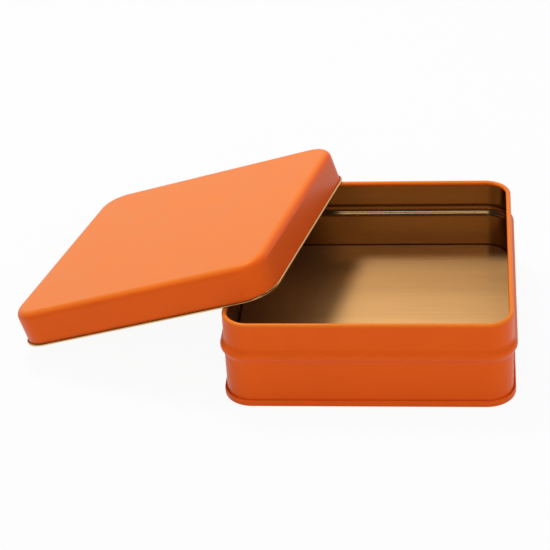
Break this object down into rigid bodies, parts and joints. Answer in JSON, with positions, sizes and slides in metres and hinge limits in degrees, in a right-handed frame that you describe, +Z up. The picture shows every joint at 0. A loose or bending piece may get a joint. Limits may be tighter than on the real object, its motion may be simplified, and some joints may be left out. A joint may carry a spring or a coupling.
{
  "type": "slip-lid candy tin",
  "caption": "Square shallow tin for sweets with rounded corners, rolled rim, lid-stop bead and seamed base; its loose slip lid leans on it.",
  "frame": {"origin": "centre of the base, on the surface that the tin stands on", "axes": "+Z up, +X to the right along the front wall, +Y to the back; the lid leans over the left wall"},
  "size_m": [0.2159, 0.1505, 0.0605],
  "materials": {
    "orange_lacquer": "satin orange lacquer on tinplate",
    "gold_lacquer": "gold food lacquer on tinplate, brushed grain"
  },
  "bodies": {
    "root": {"wall": "orange_lacquer", "base": "gold_lacquer", "lid": "orange_lacquer"}
  },
  "joints": []
}
